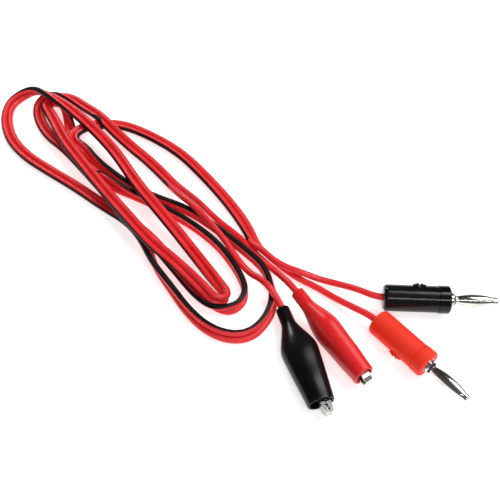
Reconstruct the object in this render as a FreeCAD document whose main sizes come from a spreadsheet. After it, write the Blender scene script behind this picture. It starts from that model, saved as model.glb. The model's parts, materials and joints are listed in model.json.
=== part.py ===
"""A pair of bench test leads: a flat two-core cord with a 4 mm banana plug on each core at one
end and a booted alligator clip on each core at the other, laid loosely coiled on a table.

Lengths are in millimetres and angles in degrees. +Z is up and z = 0 is the table.
Every plug is drawn along its own +X, from the cord's entry to the pin's tip.
Every clip is drawn along its own +X, from the boot's neck to the jaws' tips, and opens along its own Y.
"""
import FreeCAD, Part
import math
import os
import re
import Sketcher

Vector = FreeCAD.Vector

SIZES = {
    # banana plug
    "plug_len": 27.0, "plug_dia": 11.0, "plug_edge": 0.6, "rear_round": 1.6,
    "boss_base": 4.0, "boss_top": 5.95, "boss_dia": 5.4,
    "collar_len": 4.6, "collar_dia": 11.5, "groove_width": 0.6, "groove_depth": 0.35,
    "entry_dia": 3.0, "cord_hole": 3.0, "core_start": 9.0, "core_dia": 6.4, "strand_dia": 1.8, "strand_hole": 2.0,
    "strand_start": 4.0, "strand_end": 19.0, "shoulder_dia": 6.0, "shoulder_len": 1.5, "shoulder_edge": 0.3,
    "washer_dia": 4.6, "washer_len": 0.6, "washer_edge": 0.2,
    "rod_dia": 2.6, "pin_end": 46.4, "head_dia": 3.4, "head_len": 1.3, "head_edge": 0.6,
    "lantern_end_dia": 3.4, "lantern_bulge_dia": 5.2, "lantern_wall": 0.3, "lantern_ring": 0.9,
    "lantern_slot": 0.6, "slot_inset": 1.6,
    "screw_place": 14.6, "screw_hole": 4.0, "screw_head_dia": 3.5, "screw_shank_dia": 2.5,
    "screw_fit": 0.1, "screw_head_start": 3.5, "screw_top": 6.4, "screw_slot": 0.6, "screw_slot_depth": 0.8,
    # alligator clip
    "jaw_tip": 48.8, "pivot_place": 27.0, "sheet_thickness": 0.45, "fixed_jaw_width": 4.4,
    "moving_jaw_width": 3.3, "jaw_gap": 0.1, "tooth_pitch": 1.6, "tooth_depth": 0.8, "tooth_count": 9,
    "tooth_start": 0.7,
    "fixed_jaw_back": 15.0, "moving_jaw_back": 16.5, "crimp_start": 7.5, "crimp_dia": 2.8,
    "rivet_dia": 1.8, "rivet_head_dia": 3.0, "rivet_head_len": 0.5,
    "spring_coil_dia": 3.4, "spring_wire_dia": 0.4, "spring_turns": 3.0, "spring_leg": 6.2, "spring_spread": 22.5,
    "spring_pitch": 1.12,
    "boot_wall": 1.0, "clip_strand_end": 12.0, "clip_turn_place": 9.5,
    "cord_in_boot": 2.0,
    # cord
    "conductor_dia": 2.8, "conductor_spacing": 2.9,
    # lay-out on the table: the cord's datum, then each plug's cord entry and each boot's neck
    "datum_x": -55.41, "datum_y": 52.03,
    "black_plug_x": -1.41, "black_plug_y": 23.03, "black_plug_yaw": -2.4, "black_plug_roll": 40.0,
    "red_plug_x": -4.91, "red_plug_y": 12.03, "red_plug_yaw": -49.0, "red_plug_roll": 215.0,
    "black_clip_x": -42.31, "black_clip_y": 17.73, "black_clip_yaw": -72.3, "black_clip_shift": 0.0,
    "black_clip_skew": 2.1,
    "red_clip_x": -36.36, "red_clip_y": 23.43, "red_clip_yaw": -56.6, "red_clip_shift": -2.0,
    "red_clip_skew": 0.0, "red_clip_pitch": 3.5,
}

# flats that stand for one turn of the clip spring
SPRING_SIDES = 8

# boot outline: distance from the neck, half width across the opening, half thickness
BOOT_SECTIONS = [(0, 2.8, 2.8), (7.5, 3.0, 2.9), (11, 4.3, 3.6), (15, 6.0, 4.5), (18.5, 7.3, 5.0),
                 (21, 7.5, 5.1), (30, 6.7, 4.8), (44, 5.3, 4.1)]

for section, (place, width, thickness) in enumerate(BOOT_SECTIONS):
    SIZES[f"boot_place_{section}"] = place
    SIZES[f"boot_width_{section}"] = width
    SIZES[f"boot_thickness_{section}"] = thickness

document = FreeCAD.newDocument("test_leads")
sheet = document.addObject("Spreadsheet::Sheet", "sizes")
for row, (alias, value) in enumerate(SIZES.items(), start=1):
    sheet.set(f"A{row}", alias)
    sheet.set(f"B{row}", str(value))
    sheet.setAlias(f"B{row}", alias)
document.recompute()

sub_parts = []


def size(name):
    return float(sheet.get(name))


def linked(text):
    """A formula over the sheet's aliases, written out with the sheet's name."""
    return re.sub(r"[a-z]\w*", lambda word: "sizes." + word.group(), str(text))


def bind(thing, prop, text):
    thing.setExpression(prop, linked(text))


def sub_part(thing, label, placement):
    thing.Label = label
    thing.Placement = placement
    sub_parts.append(thing)
    return thing


def origin_plane(body, role):
    return next(feature for feature in body.Origin.OriginFeatures if feature.Role == role)


def new_sketch(body, name, role="XY_Plane"):
    sketch = body.newObject("Sketcher::SketchObject", name)
    sketch.AttachmentSupport = (origin_plane(body, role), [""])
    sketch.MapMode = "FlatFace"
    return sketch


def fix_point(sketch, geometry, position, x, y):
    """Ties one sketch point to the formulas x and y."""
    for kind, text in (("DistanceX", x), ("DistanceY", y)):
        value = float(sketch.evalExpression(linked(text)))
        index = sketch.addConstraint(Sketcher.Constraint(kind, -1, 1, geometry, position, value))
        sketch.setExpression(f"Constraints[{index}]", linked(text))


def draw_outline(sketch, corners):
    """A closed outline. A corner is (x, y), or (x, y, (via x, via y)) to leave it along an arc."""
    def place(corner):
        return Vector(float(sketch.evalExpression(linked(corner[0]))),
                      float(sketch.evalExpression(linked(corner[1]))), 0)

    edges = []
    for corner, following in zip(corners, corners[1:] + corners[:1]):
        start, end = place(corner), place(following)
        if len(corner) == 3:
            circle = Part.Arc(start, place(corner[2]), end)
            edge = sketch.addGeometry(circle)
            first = 1 if sketch.getPoint(edge, 1).distanceToPoint(start) < 1e-6 else 2
            middle = sketch.addGeometry(Part.Point(place(corner[2])), True)
            sketch.addConstraint(Sketcher.Constraint("PointOnObject", middle, 1, edge))
            fix_point(sketch, middle, 1, *corner[2])
            edges.append((edge, first, 3 - first))
        else:
            edges.append((sketch.addGeometry(Part.LineSegment(start, end)), 1, 2))
    for edge, following in zip(edges, edges[1:] + edges[:1]):
        sketch.addConstraint(Sketcher.Constraint("Coincident", edge[0], edge[2], following[0], following[1]))
    for (edge, first, _), corner in zip(edges, corners):
        fix_point(sketch, edge, first, corner[0], corner[1])


def draw_circle(sketch, x, y, radius):
    circle = sketch.addGeometry(Part.Circle(Vector(float(sketch.evalExpression(linked(x))),
                                                   float(sketch.evalExpression(linked(y))), 0),
                                            Vector(0, 0, 1), float(sketch.evalExpression(linked(radius)))))
    fix_point(sketch, circle, 3, x, y)
    index = sketch.addConstraint(Sketcher.Constraint("Radius", circle, 1.0))
    sketch.setExpression(f"Constraints[{index}]", linked(radius))


def turned(body, name, corners):
    """A full turn of an outline about the body's X axis."""
    sketch = new_sketch(body, name + "_profile")
    draw_outline(sketch, corners)
    feature = body.newObject("PartDesign::Revolution", name)
    feature.Profile = sketch
    feature.ReferenceAxis = (sketch, ["H_Axis"])
    feature.Angle = 360
    sketch.Visibility = False
    return feature


def padded(body, name, corners, width):
    """An outline in XY, thickened evenly to both sides along Z."""
    sketch = new_sketch(body, name + "_profile")
    draw_outline(sketch, corners)
    feature = body.newObject("PartDesign::Pad", name)
    feature.Profile = sketch
    feature.SideType = "Symmetric"
    bind(feature, "Length", width)
    return feature


def cut_outline(body, name, role, corners, width):
    """A pocket of an outline, cut evenly to both sides of its plane."""
    sketch = new_sketch(body, name + "_profile", role)
    draw_outline(sketch, corners)
    feature = body.newObject("PartDesign::Pocket", name)
    feature.Profile = sketch
    feature.SideType = "Symmetric"
    bind(feature, "Length", width)
    return feature


def cut_round(body, name, role, x, y, radius, length, side="Symmetric", backwards=False):
    """A round hole square to one of the body's planes."""
    sketch = new_sketch(body, name + "_profile", role)
    draw_circle(sketch, x, y, radius)
    feature = body.newObject("PartDesign::Pocket", name)
    feature.Profile = sketch
    feature.SideType = side
    feature.Reversed = backwards
    bind(feature, "Length", length)
    return feature


def rod(name, radius, length, place, axis):
    """A plain cylinder whose base centre is at the formulas in place."""
    cylinder = document.addObject("Part::Cylinder", name)
    bind(cylinder, "Radius", radius)
    bind(cylinder, "Height", length)
    cylinder.Placement = FreeCAD.Placement(Vector(), FreeCAD.Rotation(Vector(0, 0, 1), Vector(*axis)))
    for letter, text in zip("xyz", place):
        bind(cylinder, f"Placement.Base.{letter}", text)
    return cylinder


# ---------------------------------------------------------------- banana plug

def tube_along(route, radius):
    """A round tube along straight runs joined by tangent arcs, with its length and the arcs' radii.

    Each arc is as large as the shorter of its two runs allows.
    """
    edges = []
    bends = []
    start = route[0]
    for before, corner, after in zip(route, route[1:], route[2:]):
        back, ahead = before - corner, after - corner
        reach = 0.45 * min(back.Length, ahead.Length)
        half_turn = (math.pi - back.getAngle(ahead)) / 2
        bend = reach / math.tan(half_turn)
        back.normalize()
        ahead.normalize()
        first, last = corner + back * reach, corner + ahead * reach
        inward = (back + ahead).normalize()
        middle = corner + inward * (bend / math.cos(half_turn) - bend)
        edges.append(Part.LineSegment(start, first).toShape())
        edges.append(Part.Arc(first, middle, last).toShape())
        bends.append(bend)
        start = last
    edges.append(Part.LineSegment(start, route[-1]).toShape())
    path = Part.Wire(edges)
    section = Part.Wire(Part.makeCircle(radius, route[0], route[1] - route[0]))
    return path.makePipeShell([section], True, False, 2), path.Length, bends


def plug_sleeve(name, place):
    """The moulded insulating sleeve, with a grooved collar at its front."""
    body = document.addObject("PartDesign::Body", name)
    turned(body, name + "_shell", [
        ("0", "entry_dia / 2"),
        ("0", "plug_dia / 2 - rear_round", ("rear_round * 0.293", "plug_dia / 2 - rear_round * 0.293")),
        ("rear_round", "plug_dia / 2"),
        ("plug_len - collar_len - groove_width", "plug_dia / 2"),
        ("plug_len - collar_len - groove_width", "plug_dia / 2 - groove_depth"),
        ("plug_len - collar_len", "plug_dia / 2 - groove_depth"),
        ("plug_len - collar_len", "collar_dia / 2"), ("plug_len - plug_edge", "collar_dia / 2"),
        ("plug_len", "collar_dia / 2 - plug_edge"), ("plug_len", "core_dia / 2"),
        ("core_start", "core_dia / 2"), ("core_start", "entry_dia / 2")])
    document.recompute()
    # a low boss stands round the screw
    sketch = new_sketch(body, name + "_boss_profile", "XZ_Plane")
    sketch.AttachmentOffset = FreeCAD.Placement(Vector(0, 0, -size("boss_base")), FreeCAD.Rotation())
    sketch.setExpression("AttachmentOffset.Base.z", "-sizes.boss_base")
    draw_circle(sketch, "screw_place", "0", "boss_dia / 2")
    document.recompute()
    boss = body.newObject("PartDesign::Pad", name + "_boss")
    boss.Profile = sketch
    boss.Reversed = True
    bind(boss, "Length", "boss_top - boss_base")
    document.recompute()
    cut_round(body, name + "_screw_hole", "XZ_Plane", "screw_place", "0", "screw_hole / 2", "plug_dia",
              "One side", False)
    return sub_part(body, name, place)


def plug_core(name, place):
    """The turned brass core: wire socket, front shoulder, rod and the head that closes the lantern."""
    body = document.addObject("PartDesign::Body", name)
    turned(body, name + "_turning", [
        ("core_start", "strand_hole / 2"), ("core_start", "core_dia / 2"), ("plug_len", "core_dia / 2"),
        ("plug_len", "shoulder_dia / 2"), ("plug_len + shoulder_len - shoulder_edge", "shoulder_dia / 2"),
        ("plug_len + shoulder_len", "shoulder_dia / 2 - shoulder_edge"), ("plug_len + shoulder_len", "rod_dia / 2"),
        ("pin_end - head_len", "rod_dia / 2"), ("pin_end - head_len", "head_dia / 2"),
        ("pin_end - head_edge", "head_dia / 2",
         ("pin_end - head_edge * 0.293", "head_dia / 2 - head_edge * 0.293")),
        ("pin_end", "head_dia / 2 - head_edge"), ("pin_end", "0"),
        ("strand_end", "0"), ("strand_end", "strand_hole / 2")])
    document.recompute()
    cut_round(body, name + "_screw_thread", "XZ_Plane", "screw_place", "0",
              "screw_shank_dia / 2 + screw_fit / 2", "plug_dia", "One side", False)
    return sub_part(body, name, place)


def plug_lantern(name, place):
    """The bowed sleeve of four leaves that grips the socket."""
    body = document.addObject("PartDesign::Body", name)
    back = "plug_len + shoulder_len + washer_len"
    front = "pin_end - head_len"
    middle = f"({back} + {front}) / 2"
    turned(body, name + "_shell", [
        (back, "lantern_end_dia / 2"),
        (f"{back} + lantern_ring", "lantern_end_dia / 2", (middle, "lantern_bulge_dia / 2")),
        (f"{front} - lantern_ring", "lantern_end_dia / 2"), (front, "lantern_end_dia / 2"),
        (front, "lantern_end_dia / 2 - lantern_wall"),
        (f"{front} - lantern_ring", "lantern_end_dia / 2 - lantern_wall",
         (middle, "lantern_bulge_dia / 2 - lantern_wall")),
        (f"{back} + lantern_ring", "lantern_end_dia / 2 - lantern_wall"),
        (back, "lantern_end_dia / 2 - lantern_wall")])
    document.recompute()
    for number, role in enumerate(("XY_Plane", "XZ_Plane")):
        cut_outline(body, f"{name}_slots_{number + 1}", role, [
            (f"{back} + slot_inset", "-lantern_slot / 2"), (f"{front} - slot_inset", "-lantern_slot / 2"),
            (f"{front} - slot_inset", "lantern_slot / 2"), (f"{back} + slot_inset", "lantern_slot / 2")], "plug_dia")
    return sub_part(body, name, place)


def plug_washer(name, place):
    """The dark ring between the core's shoulder and the lantern."""
    body = document.addObject("PartDesign::Body", name)
    start = "plug_len + shoulder_len"
    turned(body, name + "_ring", [
        (start, "rod_dia / 2"), (start, "washer_dia / 2"), (f"{start} + washer_len - washer_edge", "washer_dia / 2"),
        (f"{start} + washer_len", "washer_dia / 2 - washer_edge"), (f"{start} + washer_len", "rod_dia / 2")])
    return sub_part(body, name, place)


def plug_screw(name, place):
    """The slotted screw that clamps the bared strands in the core."""
    shank = rod(name + "_shank", "screw_shank_dia / 2", "screw_head_start - strand_hole / 2",
                ("screw_place", "strand_hole / 2", "0"), (0, 1, 0))
    head = rod(name + "_head", "screw_head_dia / 2", "screw_top - screw_head_start",
               ("screw_place", "screw_head_start", "0"), (0, 1, 0))
    solid = document.addObject("Part::Fuse", name + "_solid")
    solid.Base, solid.Tool = shank, head
    slot = document.addObject("Part::Box", name + "_slot")
    bind(slot, "Length", "screw_head_dia + 1")
    bind(slot, "Width", "screw_slot_depth + 1")
    bind(slot, "Height", "screw_slot")
    bind(slot, "Placement.Base.x", "screw_place - screw_head_dia / 2 - 0.5")
    bind(slot, "Placement.Base.y", "screw_top - screw_slot_depth")
    bind(slot, "Placement.Base.z", "-screw_slot / 2")
    cut = document.addObject("Part::Cut", name)
    cut.Base, cut.Tool = solid, slot
    return sub_part(cut, name, place)


def build_plug(colour, place):
    plug_sleeve(f"{colour}_plug_sleeve", place)
    plug_core(f"{colour}_plug_core", place)
    plug_lantern(f"{colour}_plug_lantern", place)
    plug_washer(f"{colour}_plug_washer", place)
    plug_screw(f"{colour}_plug_screw", place)
    strands = rod(f"{colour}_plug_strands_bar", "strand_dia / 2", "strand_end - strand_start - 1",
                  ("strand_start", "0", "0"), (1, 0, 0))
    holder = document.addObject("Part::Compound", f"{colour}_plug_strands")
    holder.Links = [strands]
    sub_part(holder, f"{colour}_plug_strands", place)


# ---------------------------------------------------------------- alligator clip

def toothed_edge(side):
    """The biting edge from the tip back, with one notch for each tooth."""
    corners = []
    for tooth in range(int(size("tooth_count"))):
        back = f"jaw_tip - tooth_start - tooth_pitch * {tooth}"
        corners.append((back, f"{side} * jaw_gap / 2"))
        corners.append((f"{back} - tooth_pitch / 2", f"{side} * (jaw_gap / 2 + tooth_depth)"))
    corners.append(("jaw_tip - tooth_start - tooth_pitch * tooth_count", f"{side} * jaw_gap / 2"))
    return corners


def clip_fixed_jaw(name, place):
    """The jaw with the crimp: a toothed channel whose ears stand outside the other jaw's."""
    body = document.addObject("PartDesign::Body", name)
    padded(body, name + "_block", [
        ("fixed_jaw_back", "-2.4"), ("18", "-4.1"), ("22", "-4.9"), ("pivot_place", "-3.8"), ("34", "-3.4"),
        ("jaw_tip - 1.5", "-1.9"), ("jaw_tip", "-1.2"), ("jaw_tip", "-jaw_gap / 2"),
        *toothed_edge("-1"), ("31.5", "1.3"), ("25.5", "1.5"), ("22", "-1.5"), ("17", "0.6"),
        ("fixed_jaw_back", "1.7")], "fixed_jaw_width")
    document.recompute()
    cut_outline(body, name + "_channel", "XY_Plane", [
        ("fixed_jaw_back + sheet_thickness", "-2"), ("18", "-4.1 + sheet_thickness"),
        ("22", "-4.9 + sheet_thickness"), ("pivot_place", "-3.8 + sheet_thickness"),
        ("34", "-3.4 + sheet_thickness"), ("jaw_tip - 1.7", "-1.9 + sheet_thickness"),
        ("jaw_tip - 1.2", "-0.9"), ("jaw_tip - 1.2", "3"), ("fixed_jaw_back + sheet_thickness", "3")],
        "fixed_jaw_width - 2 * sheet_thickness")
    document.recompute()
    cut_round(body, name + "_rivet_hole", "XY_Plane", "pivot_place", "0", "rivet_dia / 2", "20")
    sketch = new_sketch(body, name + "_crimp_profile", "YZ_Plane")
    sketch.AttachmentOffset = FreeCAD.Placement(Vector(0, 0, size("crimp_start")), FreeCAD.Rotation())
    sketch.setExpression("AttachmentOffset.Base.z", "sizes.crimp_start")
    draw_circle(sketch, "0", "0", "crimp_dia / 2")
    document.recompute()
    crimp = body.newObject("PartDesign::Pad", name + "_crimp")
    crimp.Profile = sketch
    bind(crimp, "Length", "fixed_jaw_back - crimp_start + sheet_thickness / 2")
    document.recompute()
    cut_round(body, name + "_crimp_hole", "YZ_Plane", "0", "0", "strand_hole / 2", "clip_strand_end + 2",
              "One side", True)
    return sub_part(body, name, place)


def clip_moving_jaw(name, place):
    """The jaw that swings: a narrower toothed channel with the thumb lever at its back."""
    body = document.addObject("PartDesign::Body", name)
    padded(body, name + "_block", [
        ("moving_jaw_back", "3.9"), ("18.5", "4.6"), ("22", "5"), ("pivot_place", "3.8"), ("34", "3.4"),
        ("jaw_tip - 1.5", "1.9"), ("jaw_tip", "1.2"), ("jaw_tip", "jaw_gap / 2"),
        *toothed_edge("1"), ("31", "-1.4"), ("25.5", "-1.6"), ("22", "1.5"), ("moving_jaw_back", "3")],
        "moving_jaw_width")
    document.recompute()
    cut_outline(body, name + "_channel", "XY_Plane", [
        ("moving_jaw_back - 1", "3.55 - sheet_thickness"), ("18.5", "4.6 - sheet_thickness"),
        ("22", "5 - sheet_thickness"), ("pivot_place", "3.8 - sheet_thickness"),
        ("34", "3.4 - sheet_thickness"), ("jaw_tip - 1.7", "1.9 - sheet_thickness"),
        ("jaw_tip - 1.2", "0.9"), ("jaw_tip - 1.2", "-3"), ("moving_jaw_back - 1", "-3")],
        "moving_jaw_width - 2 * sheet_thickness")
    document.recompute()
    cut_round(body, name + "_rivet_hole", "XY_Plane", "pivot_place", "0", "rivet_dia / 2 + 0.05", "20")
    return sub_part(body, name, place)


def clip_rivet(name, place):
    """The pivot: a rivet headed at both ends."""
    pieces = [rod(name + "_shank", "rivet_dia / 2", "fixed_jaw_width",
                  ("pivot_place", "0", "-fixed_jaw_width / 2"), (0, 0, 1))]
    for end, start in (("lower", "-fixed_jaw_width / 2 - rivet_head_len"), ("upper", "fixed_jaw_width / 2")):
        pieces.append(rod(f"{name}_{end}_head", "rivet_head_dia / 2", "rivet_head_len",
                          ("pivot_place", "0", start), (0, 0, 1)))
    rivet = document.addObject("Part::MultiFuse", name)
    rivet.Shapes = pieces
    return sub_part(rivet, name, place)


def clip_spring(name, place):
    """The torsion spring: close coils on the rivet and a leg to each lever."""
    radius = size("spring_coil_dia") / 2
    wire = size("spring_wire_dia")
    # the wire's centre line touches the coil's circle once every step, and its corners stand outside
    step = 360 / SPRING_SIDES
    steps = round((size("spring_turns") * 360 + 180 - 2 * size("spring_spread")) / step)
    pitch = wire * size("spring_pitch")
    height = pitch * steps * step / 360
    corner_radius = radius / math.cos(math.radians(step / 2))

    def on_coil(angle, reach):
        turn = math.radians(angle)
        return Vector(reach * math.cos(turn), reach * math.sin(turn), pitch * angle / 360)

    leg = size("spring_leg")
    last = math.radians(steps * step)
    route = [on_coil(0, radius) - Vector(0, leg, 0)]
    route += [on_coil((index + 0.5) * step, corner_radius) for index in range(steps)]
    route.append(on_coil(steps * step, radius) + Vector(-math.sin(last), math.cos(last), 0) * leg)
    spring = document.addObject("Part::Feature", name)
    spring.Shape, _, _ = tube_along(route, wire / 2)
    # turned so that both legs lean back, one to each lever
    lean = FreeCAD.Rotation(Vector(0, 0, 1), size("spring_spread") - 90)
    on_rivet = FreeCAD.Placement(Vector(size("pivot_place"), 0, -height / 2), lean)
    return sub_part(spring, name, place.multiply(on_rivet))


def boot_loft(name, sections, trim):
    """A solid through the boot's ellipses, each smaller than the outline by the formula trim."""
    rings = []
    for section in sections:
        ring = document.addObject("Part::Ellipse", f"{name}_ring_{section}")
        bind(ring, "MajorRadius", f"boot_width_{section} - {trim}")
        bind(ring, "MinorRadius", f"boot_thickness_{section} - {trim}")
        ring.Placement = FreeCAD.Placement(Vector(), FreeCAD.Rotation(Vector(1, 1, 1), 120))
        bind(ring, "Placement.Base.x", f"boot_place_{section}")
        rings.append(ring)
    loft = document.addObject("Part::Loft", name)
    loft.Sections = rings
    loft.Solid = True
    loft.Ruled = True
    return loft


def clip_boot(name, place):
    """The soft sleeve over the clip: a thin shell from the tight neck to the open mouth."""
    count = len(BOOT_SECTIONS)
    outside = boot_loft(name + "_outside", range(count), "0")
    inside = boot_loft(name + "_inside", range(2, count), "boot_wall")
    neck = rod(name + "_neck", "cord_hole / 2", "boot_place_2 + 2", ("-1", "0", "0"), (1, 0, 0))
    hollow = document.addObject("Part::MultiFuse", name + "_hollow")
    hollow.Shapes = [inside, neck]
    boot = document.addObject("Part::Cut", name)
    boot.Base, boot.Tool = outside, hollow
    return sub_part(boot, name, place)


def build_clip(colour, place):
    boot_place = place
    # the metal sits deeper in the boot than drawn, and turned toward one end of its mouth
    metal_place = place.multiply(FreeCAD.Placement(
        Vector(size(f"{colour}_clip_shift"), 0, 0),
        FreeCAD.Rotation(Vector(0, 0, 1), size(f"{colour}_clip_skew")), Vector(size("clip_turn_place"), 0, 0)))
    clip_fixed_jaw(f"{colour}_clip_fixed_jaw", metal_place)
    clip_moving_jaw(f"{colour}_clip_moving_jaw", metal_place)
    clip_rivet(f"{colour}_clip_rivet", metal_place)
    clip_spring(f"{colour}_clip_spring", metal_place)
    clip_boot(f"{colour}_clip_boot", boot_place)
    bar = rod(f"{colour}_clip_strands_bar", "strand_dia / 2",
              f"clip_strand_end - cord_in_boot + {colour}_clip_shift", ("cord_in_boot", "0", "0"), (1, 0, 0))
    holder = document.addObject("Part::Compound", f"{colour}_clip_strands")
    holder.Links = [bar]
    sub_part(holder, f"{colour}_clip_strands", boot_place)


# ---------------------------------------------------------------- cord

# The twin cord's route from the plugs to the clips, measured from the cord's datum on the table:
# x, y, height of its centre line, and how far it is rolled. At 0 degrees it lies flat with the
# striped conductor on the left of the way it runs, and at 90 it stands on edge with that one on top.
TWIN_ROUTE = [
    (2.2, 0.8, 2.3, 30), (-1.6, 12, 1.5, 0), (-9.5, 26, 1.6, 5), (-20, 41, 1.7, 10), (-33, 57.5, 1.7, 10),
    (-48.5, 69.5, 1.7, 10), (-62.3, 77, 1.6, 5), (-72.5, 77.3, 1.9, 0), (-80, 72.5, 4.7, 0), (-85, 67, 5.2, 0),
    (-84, 61, 5.4, 15), (-78, 56, 5.4, 40), (-71.5, 48.5, 4.2, 70), (-62.5, 41.2, 2.9, 90), (-52.5, 32.8, 2.9, 90),
    (-40, 26, 2.9, 90), (-27, 20, 2.9, 90), (-14, 9, 2.9, 90), (-3, -2, 2.9, 90), (6, -11.7, 2.9, 90),
    (9.4, -22.3, 2.8, 105), (9.5, -31, 2.7, 115), (6, -39, 2.8, 115), (0.3, -45, 2.6, 130), (-8, -46.2, 2.6, 130),
    (-17.4, -42, 2.7, 120), (-25.5, -33.5, 2.8, 110), (-33, -22, 2.9, 100), (-41, -10, 2.9, 80),
    (-46.2, 4.6, 2, 20), (-53.6, 15.2, 1.6, 5), (-66.3, 24.6, 1.5, 0), (-79.3, 35.2, 1.6, 5), (-94, 46, 1.5, 0),
    (-106.5, 55.5, 1.5, 0), (-116, 67, 1.5, 0), (-121, 81, 1.5, 0), (-120.7, 91.8, 1.9, 20), (-115.2, 97.6, 3.2, 60),
    (-107.5, 97, 6.8, 105), (-99, 91, 8.3, 150), (-87, 81, 7.8, 180), (-74, 67, 7.4, 180),
    (-62, 52, 6, 180), (-51, 32, 7.4, 180), (-41, 18, 7.4, 180), (-30, 4, 4.4, 180), (-21, -8, 2.2, 185),
    (-13.8, -18.9, 2.4, 215), (-9, -26, 3.2, 250), (-10.7, -29.6, 4.6, 275), (-14.5, -30.3, 6.2, 300),
    (-19.4, -24.3, 5.8, 325), (-30.7, -12.2, 6.8, 350), (-42, -2, 7.7, 355), (-53, 12, 7.8, 360),
    (-65, 27.5, 7.8, 360), (-77, 44.5, 7.6, 360), (-88, 60, 8, 360), (-96, 77, 6.2, 360),
    (-102, 87.5, 4.4, 380), (-100, 92, 3.7, 405), (-94.4, 91.8, 3.3, 430), (-91.2, 84.5, 2.7, 420),
    (-88, 74, 1.7, 370), (-84, 62, 1.6, 365), (-79, 52, 1.7, 370), (-72, 43, 1.9, 380),
    (-62, 35, 2.6, 410), (-52, 29, 2.9, 450), (-40, 22, 2.9, 450), (-25.5, 12, 2.9, 450),
    (-13.4, 0.2, 2.9, 450), (-5.6, -12.4, 2.9, 450), (-1.6, -22.8, 2.9, 450), (-3.2, -29.8, 2.9, 460),
    (-8.3, -33.3, 2.8, 470), (-15.3, -31.8, 2.7, 420), (-22, -24.5, 1.9, 380), (-32, -11, 3.2, 365),
    (-43, 3, 4.8, 360), (-54, 13, 4.9, 360), (-63.5, 27.5, 4.6, 360), (-76.1, 44, 4.5, 360),
    (-87.9, 58.6, 4.2, 360), (-97.3, 68.5, 2, 360), (-104.2, 80.3, 1.6, 365), (-106, 89.1, 2.1, 385),
    (-104, 95, 2.4, 400), (-99, 98, 2.9, 480), (-91, 96.5, 2.2, 530), (-82, 89, 1.8, 540),
    (-74, 80, 4.9, 540), (-67, 71, 4.5, 540), (-57.5, 62, 1.8, 540), (-48.5, 53, 1.5, 540),
    (-41, 44, 1.5, 540),
]

# Each plug's own lead, from the plug to the twin cord, and each clip's, from the twin cord to the clip
BLACK_PLUG_LEAD = [
    (58, -29.17, 5.75), (51.8, -28.91, 5.75), (44.3, -24, 4.6), (36, -19.3, 2), (29, -17.1, 2),
    (22, -15.6, 4.5), (15, -12.6, 4.5), (9.2, -8.2, 4.6), (4.6, -2.4, 4.2),
]
RED_PLUG_LEAD = [
    (53.12, -43.02, 5.75), (49.06, -38.34, 5.75), (41.5, -32.3, 3.8), (34, -25.8, 1.7), (27, -20.4, 1.5),
    (20, -16.2, 1.5), (13.5, -10.5, 1.5), (8.2, -4.5, 1.5),
]
BLACK_CLIP_LEAD = [
    (-37, 36, 2.2), (-31.5, 27, 5.2), (-25, 19.5, 7.5), (-18, 10, 7.4), (-11, 2, 5.2), (-5, -8, 2.8),
    (0, -16, 4.4), (4.8, -21.5, 8), (8.2, -26, 8.2), (11.88, -30.49, 5.1), (13.71, -36.21, 5.1),
]
RED_CLIP_LEAD = [
    (-33.5, 36.5, 1.5), (-24, 27.5, 1.5), (-14.5, 15.5, 1.5), (-5, 6.5, 1.5), (2, -3, 1.5),
    (8.3, -10.8, 2.6), (12.4, -17.7, 6), (16.85, -25.26, 9.03), (20.14, -30.26, 8.67),
]


def conductor_route(side):
    """The centre of one conductor at each point of the twin cord: side 1 is the striped one, -1 the plain."""
    reach = side * size("conductor_spacing") / 2
    points = [Vector(*point[:3]) for point in TWIN_ROUTE]
    route = []
    for index, (point, (_, _, _, roll)) in enumerate(zip(points, TWIN_ROUTE)):
        before = point - points[index - 1] if index else points[1] - point
        after = points[index + 1] - point if index + 1 < len(points) else before
        before.z = after.z = 0
        before.normalize()
        after.normalize()
        along = before + after
        # the offset grows at a corner so that the two conductors' runs stay parallel, within reason
        lengthen = max(0.75, along.Length / 2)
        along.normalize()
        sideways = Vector(-along.y, along.x, 0) * (math.cos(math.radians(roll)) / lengthen)
        route.append(point + (sideways + Vector(0, 0, math.sin(math.radians(roll)))) * reach)
    return route


def cord_tube(name, route):
    """A conductor along a route that is measured from the cord's datum."""
    datum = Vector(size("datum_x"), size("datum_y"), 0)
    radius = size("conductor_dia") / 2
    tube = document.addObject("Part::Feature", name)
    tube.Shape, length, bends = tube_along([point + datum for point in route], radius)
    print(f"{name}: length {length:.0f}, smallest radii {[round(bend, 1) for bend in sorted(bends)[:6]]},",
          f"volume {tube.Shape.Volume:.1f} for {math.pi * radius ** 2 * length:.1f}")
    return sub_part(tube, name, FreeCAD.Placement())


# ---------------------------------------------------------------- assembly

def placement(name, height, roll=0.0, pitch=0.0):
    turn = FreeCAD.Rotation(size(name + "_yaw"), pitch, roll)
    return FreeCAD.Placement(Vector(size(name + "_x"), size(name + "_y"), height), turn)


plug_height = size("collar_dia") / 2
build_plug("black", placement("black_plug", plug_height, roll=size("black_plug_roll")))
build_plug("red", placement("red_plug", plug_height, roll=size("red_plug_roll")))
# the black clip lies on its side, and the red one stands on its edge with its mouth down to the table
build_clip("black", placement("black_clip", size("boot_thickness_5")))
red_pitch = size("red_clip_pitch")
red_height = (size("boot_width_5") / math.cos(math.radians(red_pitch))
              + size("boot_place_5") * math.sin(math.radians(red_pitch)))
build_clip("red", placement("red_clip", red_height, roll=90, pitch=red_pitch))

striped = ([Vector(*point) for point in BLACK_PLUG_LEAD] + conductor_route(1)
           + [Vector(*point) for point in BLACK_CLIP_LEAD])
plain = ([Vector(*point) for point in RED_PLUG_LEAD] + conductor_route(-1)
         + [Vector(*point) for point in RED_CLIP_LEAD])
cord_tube("striped_wire", striped)
cord_tube("plain_wire", plain)

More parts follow.
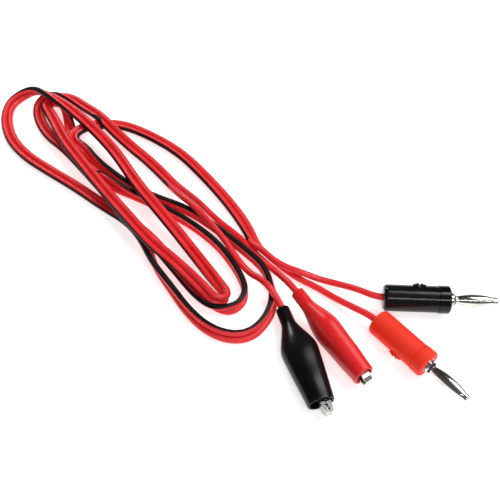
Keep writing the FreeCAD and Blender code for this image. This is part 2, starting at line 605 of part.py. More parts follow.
document.recompute()
for thing in document.Objects:
    if {"Invalid", "Error"} & set(thing.State):
        raise RuntimeError(f"{thing.Label} failed: {thing.State}")
for thing in sub_parts:
    if thing.Shape.isNull() or not thing.Shape.isValid() or not thing.Shape.Solids:
        raise RuntimeError(f"{thing.Label} has no sound solid")
os.makedirs("parts", exist_ok=True)
for thing in sub_parts:
    thing.Shape.exportStep(f"parts/{thing.Label}.step")
print(len(sub_parts), "sub-parts written")
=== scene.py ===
import json
import math

import bpy
import numpy as np
from mathutils import Matrix, Quaternion, Vector


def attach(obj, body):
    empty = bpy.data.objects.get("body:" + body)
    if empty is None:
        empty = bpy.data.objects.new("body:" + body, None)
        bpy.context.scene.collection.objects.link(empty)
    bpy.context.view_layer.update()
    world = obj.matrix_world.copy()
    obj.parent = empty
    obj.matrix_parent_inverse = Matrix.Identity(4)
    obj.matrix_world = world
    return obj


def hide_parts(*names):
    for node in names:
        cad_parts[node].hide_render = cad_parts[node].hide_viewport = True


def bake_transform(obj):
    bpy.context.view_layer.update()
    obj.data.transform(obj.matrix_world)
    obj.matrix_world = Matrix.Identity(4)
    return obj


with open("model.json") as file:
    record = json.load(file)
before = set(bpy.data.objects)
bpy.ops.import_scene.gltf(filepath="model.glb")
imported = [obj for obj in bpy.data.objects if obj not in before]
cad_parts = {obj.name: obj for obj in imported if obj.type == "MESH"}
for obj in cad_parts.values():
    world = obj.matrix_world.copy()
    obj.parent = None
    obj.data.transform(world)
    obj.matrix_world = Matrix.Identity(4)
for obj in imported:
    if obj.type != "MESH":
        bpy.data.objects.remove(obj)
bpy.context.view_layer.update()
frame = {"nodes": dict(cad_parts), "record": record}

NODES = frame["nodes"]
RECORD = frame["record"]
MM = 0.001

# ---------------------------------------------------------------- placement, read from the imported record

MOUNTS = {mount["name"]: mount for mount in RECORD["mounts"]}
JOINTS = {joint["name"]: joint for joint in RECORD["behaviour"]["joints"]}

# Each clip's metal is turned a little in its boot, in degrees, about one place inside the boot.
# The other two are the distances from that place to the grip of the jaws and back to the boot's neck.
CLIP_SKEW = {"black": 2.1, "red": 0.0}
JAWS_FROM_TURN = 38.3 * MM
NECK_FROM_TURN = {"black": 9.5 * MM, "red": 7.5 * MM}


def clip_base(colour):
    """The matrix of a boot drawn from its neck along its own +X, with the clip opening along its own Y."""
    mount = MOUNTS[f"{colour}_clip_jaws"]
    up = Vector(JOINTS[f"{colour}_jaw_hinge"]["axis"]).normalized()
    metal_along = Vector(mount["axis"]).normalized()
    turn_place = Vector(mount["pos_m"]) - metal_along * JAWS_FROM_TURN
    along = Quaternion(up, -math.radians(CLIP_SKEW[colour])) @ metal_along
    turn = Matrix((along, up.cross(along), up)).transposed().to_4x4()
    return Matrix.Translation(turn_place - along * NECK_FROM_TURN[colour]) @ turn


# ---------------------------------------------------------------- materials

def new_material(name, colour, roughness, metallic=0.0, specular=0.5):
    material = bpy.data.materials.new(name)
    material.use_nodes = True
    tree = material.node_tree
    shader = tree.nodes["Principled BSDF"]
    shader.inputs["Base Color"].default_value = (*colour, 1)
    shader.inputs["Roughness"].default_value = roughness
    shader.inputs["Metallic"].default_value = metallic
    shader.inputs["Specular IOR Level"].default_value = specular
    return material, tree, shader


def noise(tree, scale, detail, stretch=(1, 1, 1), coordinate="Object"):
    """A noise with so many features a metre, or a unit of the UV map, along each axis."""
    place = tree.nodes.new("ShaderNodeTexCoord")
    mapping = tree.nodes.new("ShaderNodeMapping")
    mapping.inputs["Scale"].default_value = stretch
    texture = tree.nodes.new("ShaderNodeTexNoise")
    texture.inputs["Scale"].default_value = scale
    texture.inputs["Detail"].default_value = detail
    tree.links.new(place.outputs[coordinate], mapping.inputs["Vector"])
    tree.links.new(mapping.outputs["Vector"], texture.inputs["Vector"])
    return texture.outputs["Fac"]


def colour_spread(tree, shader, factor, low, high, start=0.35, end=0.65):
    """The colour runs from low to high as the factor runs from start to end."""
    ramp = tree.nodes.new("ShaderNodeValToRGB")
    ramp.color_ramp.elements[0].position = start
    ramp.color_ramp.elements[1].position = end
    ramp.color_ramp.elements[0].color = (*low, 1)
    ramp.color_ramp.elements[1].color = (*high, 1)
    tree.links.new(factor, ramp.inputs["Fac"])
    tree.links.new(ramp.outputs["Color"], shader.inputs["Base Color"])


def rough_spread(tree, shader, factor, low, high):
    """The roughness runs from low to high over the middle of the factor's range."""
    spread = tree.nodes.new("ShaderNodeMapRange")
    spread.inputs["From Min"].default_value = 0.3
    spread.inputs["From Max"].default_value = 0.7
    spread.inputs["To Min"].default_value = low
    spread.inputs["To Max"].default_value = high
    tree.links.new(factor, spread.inputs["Value"])
    tree.links.new(spread.outputs["Result"], shader.inputs["Roughness"])


def relief(tree, shader, layers):
    """Bump layers, each a factor and its depth in metres."""
    last = None
    for factor, depth in layers:
        bump = tree.nodes.new("ShaderNodeBump")
        bump.inputs["Strength"].default_value = 1.0
        bump.inputs["Distance"].default_value = depth
        tree.links.new(factor, bump.inputs["Height"])
        if last:
            tree.links.new(last, bump.inputs["Normal"])
        last = bump.outputs["Normal"]
    tree.links.new(last, shader.inputs["Normal"])


def cord_material(name, low, high, specular):
    """Soft extruded PVC: blotches, a fine grain, and the faint lines that the die leaves along it."""
    material, tree, shader = new_material(name, high, 0.4, specular=specular)
    blotch = noise(tree, scale=90, detail=3)
    grain = noise(tree, scale=2600, detail=2)
    lines = noise(tree, scale=1.0, detail=2, stretch=(60, 12, 1), coordinate="UV")
    colour_spread(tree, shader, blotch, low, high)
    rough_spread(tree, shader, blotch, 0.34, 0.46)
    relief(tree, shader, [(lines, 0.06 * MM), (grain, 0.02 * MM)])
    return material


def moulded_material(name, low, high, roughness, specular, grain_depth):
    """Moulded or dipped plastic: blotches, slow waves in its surface, and a fine grain."""
    material, tree, shader = new_material(name, high, roughness, specular=specular)
    blotch = noise(tree, scale=60, detail=4)
    grain = noise(tree, scale=3200, detail=3)
    waves = noise(tree, scale=160, detail=2)
    colour_spread(tree, shader, blotch, low, high)
    rough_spread(tree, shader, blotch, roughness - 0.05, roughness + 0.06)
    relief(tree, shader, [(waves, 0.05 * MM), (grain, grain_depth)])
    return material


def metal_material(name, colour, dark, roughness, scratch_depth):
    """Plated or bare metal: duller, darker stains and fine drawn-out scratches."""
    material, tree, shader = new_material(name, colour, roughness, metallic=1.0)
    stain = noise(tree, scale=220, detail=4)
    scratches = noise(tree, scale=1800, detail=2, stretch=(1, 1, 0.15))
    colour_spread(tree, shader, stain, dark, colour, start=0.25, end=0.6)
    rough_spread(tree, shader, stain, roughness + 0.08, roughness)
    relief(tree, shader, [(scratches, scratch_depth)])
    return material


CORD_RED = cord_material("cord_red", (0.70, 0.018, 0.024), (0.80, 0.026, 0.032), 0.42)
CORD_BLACK = cord_material("cord_stripe_black", (0.004, 0.003, 0.004), (0.010, 0.007, 0.008), 0.20)
# by material slot: name, lowest and highest colour, roughness, specular level, depth of the grain
MOULDED = {
    "black_plastic": ("plug_black", (0.003, 0.003, 0.004), (0.006, 0.006, 0.007), 0.14, 0.24, 0.003 * MM),
    "red_plastic": ("plug_red", (0.80, 0.030, 0.012), (0.90, 0.042, 0.017), 0.52, 0.22, 0.03 * MM),
    "black_vinyl": ("boot_black", (0.002, 0.002, 0.003), (0.005, 0.005, 0.006), 0.22, 0.27, 0.006 * MM),
    "red_vinyl": ("boot_red", (0.72, 0.014, 0.016), (0.84, 0.022, 0.022), 0.36, 0.32, 0.01 * MM),
    "black_fibre": ("washer_black", (0.010, 0.009, 0.009), (0.020, 0.018, 0.017), 0.55, 0.3, 0.03 * MM),
}
# by material slot: name, colour, colour of its stains, roughness, depth of its scratches
METALS = {
    "nickel": ("bright_nickel", (0.70, 0.68, 0.65), (0.50, 0.47, 0.44), 0.09, 0.01 * MM),
    "plated_steel": ("plated_steel", (0.58, 0.57, 0.55), (0.30, 0.29, 0.27), 0.20, 0.02 * MM),
    "spring_steel": ("spring_steel", (0.55, 0.54, 0.52), (0.30, 0.29, 0.28), 0.30, 0.02 * MM),
    "copper": ("bare_copper", (0.85, 0.42, 0.24), (0.50, 0.22, 0.12), 0.30, 0.02 * MM),
}
MATERIALS = {slot: moulded_material(*look) for slot, look in MOULDED.items()}
MATERIALS.update({slot: metal_material(*look) for slot, look in METALS.items()})

for part in RECORD["subparts"]:
    node = NODES[part["node"]]
    finish = MATERIALS.get(part["material_slot"], CORD_RED)
    node.data.materials.clear()
    node.data.materials.append(finish)

# ---------------------------------------------------------------- cord

CORD_RADIUS = 1.4 * MM
CORD_SPACING = 2.9 * MM
# the routes are measured from this place on the table
DATUM = Vector((-0.05541, 0.05203, 0))

# The twin cord's route from the plugs to the clips: x, y and height of its centre line in metres, and its
# roll in degrees. At 0 it lies flat with the striped conductor on the left of the way it runs, and at 90 it
# stands on edge with that one on top.
TWIN_ROUTE = [
    (0.0022, 0.0008, 0.0023, 30), (-0.0016, 0.012, 0.0015, 0), (-0.0095, 0.026, 0.0016, 5),
    (-0.02, 0.041, 0.0017, 10), (-0.033, 0.0575, 0.0017, 10), (-0.0485, 0.0695, 0.0017, 10),
    (-0.0623, 0.077, 0.0016, 5), (-0.0725, 0.0773, 0.0019, 0), (-0.08, 0.0725, 0.0047, 0),
    (-0.085, 0.067, 0.0052, 0), (-0.084, 0.061, 0.0054, 15), (-0.078, 0.056, 0.0054, 40),
    (-0.0715, 0.0485, 0.0042, 70), (-0.0625, 0.0412, 0.0029, 90), (-0.0525, 0.0328, 0.0029, 90),
    (-0.04, 0.026, 0.0029, 90), (-0.027, 0.02, 0.0029, 90), (-0.014, 0.009, 0.0029, 90),
    (-0.003, -0.002, 0.0029, 90), (0.006, -0.0117, 0.0029, 90), (0.0094, -0.0223, 0.0028, 105),
    (0.0095, -0.031, 0.0027, 115), (0.006, -0.039, 0.0028, 115), (0.0003, -0.045, 0.0026, 130),
    (-0.008, -0.0462, 0.0026, 130), (-0.0174, -0.042, 0.0027, 120), (-0.0255, -0.0335, 0.0028, 110),
    (-0.033, -0.022, 0.0029, 100), (-0.041, -0.01, 0.0029, 80), (-0.0462, 0.0046, 0.002, 20),
    (-0.0536, 0.0152, 0.0016, 5), (-0.0663, 0.0246, 0.0015, 0), (-0.0793, 0.0352, 0.0016, 5),
    (-0.094, 0.046, 0.0015, 0), (-0.1065, 0.0555, 0.0015, 0), (-0.116, 0.067, 0.0015, 0),
    (-0.121, 0.081, 0.0015, 0), (-0.1207, 0.0918, 0.0019, 20), (-0.1152, 0.0976, 0.0032, 60),
    (-0.1075, 0.097, 0.0068, 105), (-0.099, 0.091, 0.0083, 150), (-0.087, 0.081, 0.0078, 180),
    (-0.074, 0.067, 0.0074, 180), (-0.062, 0.052, 0.006, 180), (-0.051, 0.032, 0.0074, 180),
    (-0.041, 0.018, 0.0074, 180), (-0.03, 0.004, 0.0044, 180), (-0.021, -0.008, 0.0022, 185),
    (-0.0138, -0.0189, 0.0024, 215), (-0.009, -0.026, 0.0032, 250), (-0.0107, -0.0296, 0.0046, 275),
    (-0.0145, -0.0303, 0.0062, 300), (-0.0194, -0.0243, 0.0058, 325), (-0.0307, -0.0122, 0.0068, 350),
    (-0.042, -0.002, 0.0077, 355), (-0.053, 0.012, 0.0078, 360), (-0.065, 0.0275, 0.0078, 360),
    (-0.077, 0.0445, 0.0076, 360), (-0.088, 0.06, 0.008, 360), (-0.096, 0.077, 0.0062, 360),
    (-0.102, 0.0875, 0.0044, 380), (-0.1, 0.092, 0.0037, 405), (-0.0944, 0.0918, 0.0033, 430),
    (-0.0912, 0.0845, 0.0027, 420), (-0.088, 0.074, 0.0017, 370), (-0.084, 0.062, 0.0016, 365),
    (-0.079, 0.052, 0.0017, 370), (-0.072, 0.043, 0.0019, 380), (-0.062, 0.035, 0.0026, 410),
    (-0.052, 0.029, 0.0029, 450), (-0.04, 0.022, 0.0029, 450), (-0.0255, 0.012, 0.0029, 450),
    (-0.0134, 0.0002, 0.0029, 450), (-0.0056, -0.0124, 0.0029, 450), (-0.0016, -0.0228, 0.0029, 450),
    (-0.0032, -0.0298, 0.0029, 460), (-0.0083, -0.0333, 0.0028, 470), (-0.0153, -0.0318, 0.0027, 420),
    (-0.022, -0.0245, 0.0019, 380), (-0.032, -0.011, 0.0032, 365), (-0.043, 0.003, 0.0048, 360),
    (-0.054, 0.013, 0.0049, 360), (-0.0635, 0.0275, 0.0046, 360), (-0.0761, 0.044, 0.0045, 360),
    (-0.0879, 0.0586, 0.0042, 360), (-0.0973, 0.0685, 0.002, 360), (-0.1042, 0.0803, 0.0016, 365),
    (-0.106, 0.0891, 0.0021, 385), (-0.104, 0.095, 0.0024, 400), (-0.099, 0.098, 0.0029, 480),
    (-0.091, 0.0965, 0.0022, 530), (-0.082, 0.089, 0.0018, 540), (-0.074, 0.08, 0.0049, 540),
    (-0.067, 0.071, 0.0045, 540), (-0.0575, 0.062, 0.0018, 540), (-0.0485, 0.053, 0.0015, 540),
    (-0.041, 0.044, 0.0015, 540),
]
# each conductor's own lead, from its plug to the twin cord and from the twin cord to its clip
BLACK_PLUG_LEAD = [
    (0.058, -0.02917, 0.00575), (0.0518, -0.02891, 0.00575), (0.0443, -0.024, 0.0046),
    (0.036, -0.0193, 0.002), (0.029, -0.0171, 0.002), (0.022, -0.0156, 0.0045), (0.015, -0.0126, 0.0045),
    (0.0092, -0.0082, 0.0046), (0.0046, -0.0024, 0.0042),
]
RED_PLUG_LEAD = [
    (0.05312, -0.04302, 0.00575), (0.04906, -0.03834, 0.00575), (0.0415, -0.0323, 0.0038),
    (0.034, -0.0258, 0.0017), (0.027, -0.0204, 0.0015), (0.02, -0.0162, 0.0015), (0.0135, -0.0105, 0.0015),
    (0.0082, -0.0045, 0.0015),
]
BLACK_CLIP_LEAD = [
    (-0.037, 0.036, 0.0022), (-0.0315, 0.027, 0.0052), (-0.025, 0.0195, 0.0075), (-0.018, 0.01, 0.0074),
    (-0.011, 0.002, 0.0052), (-0.005, -0.008, 0.0028), (0, -0.016, 0.0044), (0.0048, -0.0215, 0.008),
    (0.0082, -0.026, 0.0082), (0.01188, -0.03049, 0.0051), (0.01371, -0.03621, 0.0051),
]
RED_CLIP_LEAD = [
    (-0.0335, 0.0365, 0.0015), (-0.024, 0.0275, 0.0015), (-0.0145, 0.0155, 0.0015), (-0.005, 0.0065, 0.0015),
    (0.002, -0.003, 0.0015), (0.0083, -0.0108, 0.0026), (0.0124, -0.0177, 0.006),
    (0.01685, -0.02526, 0.00903), (0.02014, -0.03026, 0.00867),
]


# at a turn the spacing is divided by the cosine of half the turn, and by no less than this
LEAST_COSINE = 0.75


def conductor_route(side):
    """One conductor's centre at each point of the twin cord: side 1 is the striped one, -1 the plain."""
    reach = side * CORD_SPACING / 2
    points = [Vector(point[:3]) for point in TWIN_ROUTE]
    route = []
    for index, (point, (_, _, _, roll)) in enumerate(zip(points, TWIN_ROUTE)):
        before = point - points[index - 1] if index else points[1] - point
        after = points[index + 1] - point if index + 1 < len(points) else before.copy()
        before.z = after.z = 0
        before.normalize()
        after.normalize()
        along = before + after
        cosine = max(LEAST_COSINE, along.length / 2)
        along.normalize()
        sideways = Vector((-along.y, along.x, 0)) * (math.cos(math.radians(roll)) / cosine)
        route.append(point + (sideways + Vector((0, 0, math.sin(math.radians(roll))))) * reach)
    return route


# points of the line between two controls
POINTS_A_RUN = 10
# points of a curve nearer than this are the same point
SAME_POINT = 0.02 * MM


def read_line(name, route):
    """The points of the smooth curve that the route controls."""
    curve = bpy.data.curves.new(name, "CURVE")
    curve.dimensions = "3D"
    curve.resolution_u = POINTS_A_RUN
    spline = curve.splines.new("NURBS")
    spline.points.add(len(route) - 1)
    for control, point in zip(spline.points, route):
        control.co = (*(point + DATUM), 1)
    spline.order_u = 3
    spline.use_endpoint_u = True
    holder = bpy.data.objects.new(name, curve)
    bpy.context.scene.collection.objects.link(holder)
    bpy.context.view_layer.update()
    flat = bpy.data.meshes.new_from_object(holder.evaluated_get(bpy.context.evaluated_depsgraph_get()))
    line = np.array([vertex.co[:] for vertex in flat.vertices])
    # two runs of the curve meet in a point that each of them has
    apart = np.linalg.norm(np.diff(line, axis=0), axis=1) > SAME_POINT
    line = line[np.concatenate([[True], apart])]
    bpy.data.objects.remove(holder)
    bpy.data.curves.remove(curve)
    bpy.data.meshes.remove(flat)
    return line


def mesh_object(name, vertices, faces, materials):
    mesh = bpy.data.meshes.new(name)
    mesh.from_pydata([tuple(v) for v in vertices], [], faces)
    for material in materials:
        mesh.materials.append(material)
    mesh.shade_smooth()
    thing = bpy.data.objects.new(name, mesh)
    bpy.context.scene.collection.objects.link(thing)
    return thing


def tube_faces(rings, around, closed=False):
    """The faces between one ring of points and the next, and back to the first where the tube is closed."""
    faces = []
    for index in range(rings if closed else rings - 1):
        a, b = index * around, (index + 1) % rings * around
        for k in range(around):
            n = (k + 1) % around
            faces.append((a + k, a + n, b + n, b + k))
    return faces


def smooth_step(values):
    values = np.clip(values, 0, 1)
    return values * values * (3 - 2 * values)


# the conductors are joined up to the first distance between their centres, and apart from the second
JOINED_UP_TO = 3.2 * MM
APART_FROM = 4.2 * MM


def ways_to_neighbour(line, other):
    """At each point of a conductor, the way to the other conductor and how far they are joined there."""
    gaps = np.linalg.norm(line[:, None, :] - other[None, :, :], axis=2)
    nearest = other[gaps.argmin(axis=1)]
    joined = smooth_step((APART_FROM - gaps.min(axis=1)) / (APART_FROM - JOINED_UP_TO))
    return nearest - line, joined


CORD_SIDES = 32
# the web stands out of each conductor by this much, over this many degrees each side of the way to the other
WEB_STAND = 0.09 * MM
WEB_HALF_ANGLE = 13
# the stripe faces away from the other conductor, over this many degrees each side
STRIPE_HALF_ANGLE = 61
# on its own lead a conductor's red side faces this way, so that its stripe faces down and back
LEAD_FACING = np.array([0.0, -0.62, 0.79])
# how strongly, against the way to the other conductor, where the cord divides
LEAD_WEIGHT = 0.6
# the facing is eased over this many points of the line
FACING_WINDOW = 9
# the texture's repeats for each metre of cord
ALONG_SCALE = 10


def facing_ways(line, steps, other, travel, plug_lead, clip_lead):
    """At each point, the way that a conductor's web faces, and how far it is joined to the other one."""
    toward, joined = ways_to_neighbour(line, other)
    in_twin = (travel > plug_lead) & (travel < travel[-1] - clip_lead)
    joined = np.where(in_twin, joined, 0)
    toward /= np.linalg.norm(toward, axis=1)[:, None]
    facing = toward * joined[:, None] + LEAD_FACING * (1 - joined[:, None]) * LEAD_WEIGHT
    # eased along the cord, and square to it
    kernel = np.hanning(FACING_WINDOW + 2)[1:-1]
    kernel /= kernel.sum()
    facing = np.stack([np.convolve(np.pad(facing[:, k], FACING_WINDOW // 2, mode="edge"), kernel, "valid")
                       for k in range(3)], axis=1)
    facing -= steps * (facing * steps).sum(axis=1)[:, None]
    facing /= np.linalg.norm(facing, axis=1)[:, None]
    return facing, joined


def conductor(name, line, other, plug_lead, clip_lead, striped):
    """A round conductor with half of the thin web that joins it to the other one, and its stripe.

    Its leads to the plug and to the clip, in metres, are never joined to the other conductor."""
    steps = np.gradient(line, axis=0)
    steps /= np.linalg.norm(steps, axis=1)[:, None]
    travel = np.concatenate([[0], np.cumsum(np.linalg.norm(np.diff(line, axis=0), axis=1))])
    facing, joined = facing_ways(line, steps, other, travel, plug_lead, clip_lead)
    side = np.cross(steps, facing)
    angles = 2 * math.pi * np.arange(CORD_SIDES) / CORD_SIDES
    web = np.cos(angles) > math.cos(math.radians(WEB_HALF_ANGLE))
    vertices = []
    for index, point in enumerate(line):
        radius = np.full(CORD_SIDES, CORD_RADIUS)
        radius[web] += joined[index] * WEB_STAND
        outward = np.outer(np.cos(angles) * radius, facing[index])
        vertices.extend(point + outward + np.outer(np.sin(angles) * radius, side[index]))
    faces = tube_faces(len(line), CORD_SIDES)
    wall = len(faces)
    faces.append(tuple(range(CORD_SIDES))[::-1])
    faces.append(tuple(range(len(vertices) - CORD_SIDES, len(vertices))))
    thing = mesh_object(name, vertices, faces, [CORD_RED, CORD_BLACK])
    mesh = thing.data
    if striped:
        dark = [abs((k + 0.5) * 360 / CORD_SIDES - 180) < STRIPE_HALF_ANGLE for k in range(CORD_SIDES)]
        for polygon in mesh.polygons:
            if polygon.index < wall and dark[polygon.index % CORD_SIDES]:
                polygon.material_index = 1
    layer = mesh.uv_layers.new(name="along")
    for loop in mesh.loops:
        ring, k = divmod(loop.vertex_index, CORD_SIDES)
        layer.data[loop.index].uv = (k / CORD_SIDES, travel[ring] * ALONG_SCALE)
    return thing


def vectors(route):
    return [Vector(point) for point in route]


def lay_cord(cord, node):
    """What one conductor rides and stands for."""
    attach(cord, "root")
    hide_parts(node)


STRIPED_ROUTE = vectors(BLACK_PLUG_LEAD) + conductor_route(1) + vectors(BLACK_CLIP_LEAD)
PLAIN_ROUTE = vectors(RED_PLUG_LEAD) + conductor_route(-1) + vectors(RED_CLIP_LEAD)
STRIPED_LINE = read_line("striped_line", STRIPED_ROUTE)
PLAIN_LINE = read_line("plain_line", PLAIN_ROUTE)
STRIPED = conductor("striped_cord", STRIPED_LINE, PLAIN_LINE, plug_lead=0.070, clip_lead=0.080, striped=True)
PLAIN = conductor("plain_cord", PLAIN_LINE, STRIPED_LINE, plug_lead=0.066, clip_lead=0.064, striped=False)
lay_cord(STRIPED, "striped_wire")
lay_cord(PLAIN, "plain_wire")

# ---------------------------------------------------------------- clip boots

# The boot's sizes are in millimetres. Its outline from the neck to the mouth: distance, half width across
# the opening, half thickness.
BOOT_OUTLINE = [(0, 2.8, 2.8), (7.5, 3.0, 2.9), (11, 4.3, 3.6), (15, 6.0, 4.5), (18.5, 7.3, 5.0),
                (21, 7.5, 5.1), (30, 6.7, 4.8), (44, 5.3, 4.1)]
BOOT_LENGTH = BOOT_OUTLINE[-1][0]
NECK_RADIUS = BOOT_OUTLINE[0][1]
# each corner of the outline is eased over this much each way, by the mean of so many shifted outlines
CORNER_EASE = 1.1
EASE_SHIFTS = 9
BOOT_SIDES = 72
BOOT_SECTIONS = 89
BOOT_WALL = 0.9
NECK_EDGE = 0.35
# the power of each ring's shape: 2 is an ellipse, and the flatter-sided mouth and hollow are a little more
ROUND, MOUTH_SQUARE, HOLLOW_SQUARE = 2, 2.25, 2.2
# the outside leaves the ellipse at the first distance and reaches the mouth's shape over the second
SQUARE_FROM, SQUARE_OVER = 8, 10
# the hollow follows every second section of the outside, from near the mouth back to the flare
HOLLOW_SECTIONS = slice(-4, 24, -2)
# the hollow's last rings in the neck: distance and radius
NECK_BORE = [(11.5, 2.4), (10.5, 1.5), (4, 1.5), (0.3, 1.5), (0.05, 1.7)]
# a faint sag and swell along the soft wall: its share of the thickness, its radians a millimetre, its phase
SWELL, SWELL_PITCH, SWELL_PHASE = 0.06 / 5.5, 0.55, 1.3
# it starts at the first distance from the neck and is full after the second
SWELL_FROM, SWELL_OVER = 10, 10


def rounded_outline(places):
    """Half width and half thickness at each place, with each corner of the outline eased."""
    at = [row[0] for row in BOOT_OUTLINE]
    result = []
    shifts = np.linspace(-CORNER_EASE, CORNER_EASE, EASE_SHIFTS)
    for column in (1, 2):
        values = [row[column] for row in BOOT_OUTLINE]
        result.append(np.mean([np.interp(places + shift, at, values) for shift in shifts], axis=0))
    return result


def boot_ring(place, width, thickness, power):
    """One loop of points round the boot."""
    angles = 2 * math.pi * np.arange(BOOT_SIDES) / BOOT_SIDES
    across, up = np.cos(angles), np.sin(angles)
    y = width * np.sign(across) * np.abs(across) ** (2 / power)
    z = thickness * np.sign(up) * np.abs(up) ** (2 / power)
    return np.stack([np.full(BOOT_SIDES, place), y, z], axis=1)


def boot_rings():
    """The loops from the neck's rim along the outside, round the mouth's rim and back down the hollow."""
    places = np.linspace(0, BOOT_LENGTH, BOOT_SECTIONS)
    sections = list(zip(places, *rounded_outline(places)))
    rings = []
    for turn in np.radians(np.linspace(0, 90, 5)):
        radius = NECK_RADIUS - NECK_EDGE * (1 - math.sin(turn))
        rings.append(boot_ring(NECK_EDGE * (1 - math.cos(turn)), radius, radius, ROUND))
    for place, width, thickness in sections[1:-1]:
        share = min(1, max(0, (place - SQUARE_FROM) / SQUARE_OVER))
        rings.append(boot_ring(place, width, thickness, ROUND + (MOUTH_SQUARE - ROUND) * share))
    lip = BOOT_WALL / 2
    _, mouth_width, mouth_thickness = sections[-1]
    for turn in np.radians(np.linspace(0, 180, 9)):
        inset = lip * (1 - math.cos(turn))
        rings.append(boot_ring(BOOT_LENGTH - lip + lip * math.sin(turn), mouth_width - inset,
                               mouth_thickness - inset, MOUTH_SQUARE))
    for place, width, thickness in sections[HOLLOW_SECTIONS]:
        rings.append(boot_ring(place, width - BOOT_WALL, thickness - BOOT_WALL, HOLLOW_SQUARE))
    for place, radius in NECK_BORE:
        rings.append(boot_ring(place, radius, radius, ROUND))
    return rings


def boot(colour):
    """The soft sleeve over a clip, one closed wall. The real sleeve opens with the moving jaw."""
    base = clip_base(colour)
    rings = boot_rings()
    points = np.concatenate(rings)
    place = points[:, 0]
    points[:, 2] *= 1 + (SWELL * np.sin(place * SWELL_PITCH + SWELL_PHASE)
                         * smooth_step((place - SWELL_FROM) / SWELL_OVER))
    vertices = [base @ Vector(point) for point in points * MM]
    faces = tube_faces(len(rings), BOOT_SIDES, closed=True)
    thing = mesh_object(f"{colour}_boot_skin", vertices, faces, [MATERIALS[f"{colour}_vinyl"]])
    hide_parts(f"{colour}_clip_boot")
    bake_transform(thing)


def spring_wire(colour):
    """A copy of the CAD spring's own mesh. The real spring winds up between its two legs as the jaw opens.
    """
    node = f"{colour}_clip_spring"
    thing = bpy.data.objects.new(f"{colour}_spring_wire", NODES[node].data.copy())
    bpy.context.scene.collection.objects.link(thing)
    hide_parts(node)
    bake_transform(thing)


for colour in ("black", "red"):
    boot(colour)
    spring_wire(colour)

# ---------------------------------------------------------------- floor, light and camera

FLOOR_SIZE = 8
# the floor lies just under the cord, so that the two surfaces are never one
FLOOR_DROP = 0.12 * MM
FLOOR_GLOW = 0.55
WHITE = (1, 1, 1, 1)


def paper_floor():
    """A pale paper table that glows a little."""
    material, tree, shader = new_material("floor_paper", (0.93, 0.93, 0.93), 0.9, specular=0.1)
    shader.inputs["Emission Color"].default_value = WHITE
    shader.inputs["Emission Strength"].default_value = FLOOR_GLOW
    relief(tree, shader, [(noise(tree, scale=900, detail=3), 0.02 * MM)])
    bpy.ops.mesh.primitive_plane_add(size=FLOOR_SIZE, location=(0, 0, -FLOOR_DROP))
    floor = bpy.context.object
    floor.name = "floor"
    floor.data.materials.append(material)


def area_light(name, place, aim, size, size_y, power):
    """A rectangular light panel, in metres and watts."""
    light = bpy.data.lights.new(name, "AREA")
    light.shape = "RECTANGLE"
    light.size = size
    light.size_y = size_y
    light.energy = power
    thing = bpy.data.objects.new(name, light)
    bpy.context.scene.collection.objects.link(thing)
    thing.location = place
    thing.rotation_euler = (Vector(aim) - Vector(place)).to_track_quat("-Z", "Y").to_euler()


# The way to the room's darker wall, how nearly a view runs that way where the wall's shade starts and where
# it is full, and how bright the room and the wall are.
DARK_WALL = (-0.45, 0.80, 0.40)
WALL_STARTS, WALL_FULL = 0.25, 0.75
ROOM_LIGHT, WALL_LIGHT = 0.17, 0.04


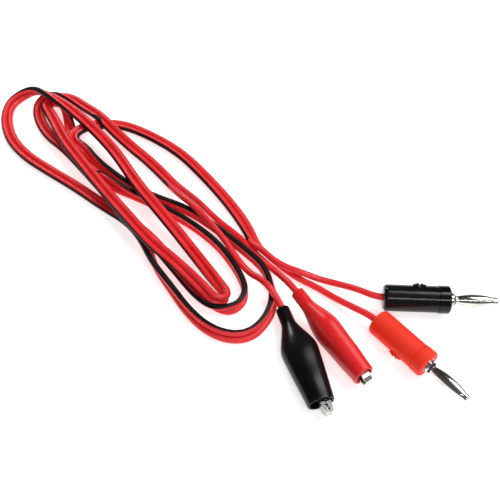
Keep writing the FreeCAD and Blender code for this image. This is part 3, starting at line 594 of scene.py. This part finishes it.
def studio_world():
    """A dim room with a darker wall behind and to the left, which the metal and the gloss show.

    Past the table's edge the camera sees it as pale as the table."""
    world = bpy.data.worlds.new("studio")
    bpy.context.scene.world = world
    world.use_nodes = True
    tree = world.node_tree
    room = tree.nodes["Background"]
    room.inputs["Color"].default_value = WHITE
    direction = tree.nodes.new("ShaderNodeTexCoord")
    toward_wall = tree.nodes.new("ShaderNodeVectorMath")
    toward_wall.operation = "DOT_PRODUCT"
    toward_wall.inputs[1].default_value = DARK_WALL
    shade = tree.nodes.new("ShaderNodeMapRange")
    shade.interpolation_type = "SMOOTHSTEP"
    shade.inputs["From Min"].default_value = WALL_STARTS
    shade.inputs["From Max"].default_value = WALL_FULL
    shade.inputs["To Min"].default_value = ROOM_LIGHT
    shade.inputs["To Max"].default_value = WALL_LIGHT
    tree.links.new(direction.outputs["Generated"], toward_wall.inputs[0])
    tree.links.new(toward_wall.outputs["Value"], shade.inputs["Value"])
    tree.links.new(shade.outputs["Result"], room.inputs["Strength"])
    paper = tree.nodes.new("ShaderNodeBackground")
    paper.inputs["Color"].default_value = WHITE
    seen = tree.nodes.new("ShaderNodeLightPath")
    choice = tree.nodes.new("ShaderNodeMixShader")
    tree.links.new(seen.outputs["Is Camera Ray"], choice.inputs["Fac"])
    tree.links.new(room.outputs["Background"], choice.inputs[1])
    tree.links.new(paper.outputs["Background"], choice.inputs[2])
    tree.links.new(choice.outputs["Shader"], tree.nodes["World Output"].inputs["Surface"])


CAMERA_ELEVATION = math.radians(52)
CAMERA_DISTANCE = 0.346
# in millimetres
SENSOR_WIDTH = 36
LENS = 57.312


def add_camera():
    """The camera in front of the leads, looking down at the cord's datum."""
    data = bpy.data.cameras.new("camera")
    data.sensor_width = SENSOR_WIDTH
    data.lens = LENS
    data.clip_start = 0.01
    camera = bpy.data.objects.new("camera", data)
    bpy.context.scene.collection.objects.link(camera)
    way = Vector((0, -math.cos(CAMERA_ELEVATION), math.sin(CAMERA_ELEVATION)))
    camera.location = DATUM + way * CAMERA_DISTANCE
    camera.rotation_euler = (DATUM - camera.location).to_track_quat("-Z", "Y").to_euler()
    bpy.context.scene.camera = camera


paper_floor()
area_light("key", (0.62, 0.30, 1.10), (-0.03, 0.05, 0), 0.8, 0.8, 13)
area_light("strip", (0.05, -0.80, 1.00), (-0.03, 0.05, 0), 1.1, 0.03, 6)
area_light("back", (-0.42, 1.05, 0.66), (-0.03, 0.02, 0), 0.22, 0.30, 4)
studio_world()
bpy.context.scene.view_settings.view_transform = "Standard"
add_camera()
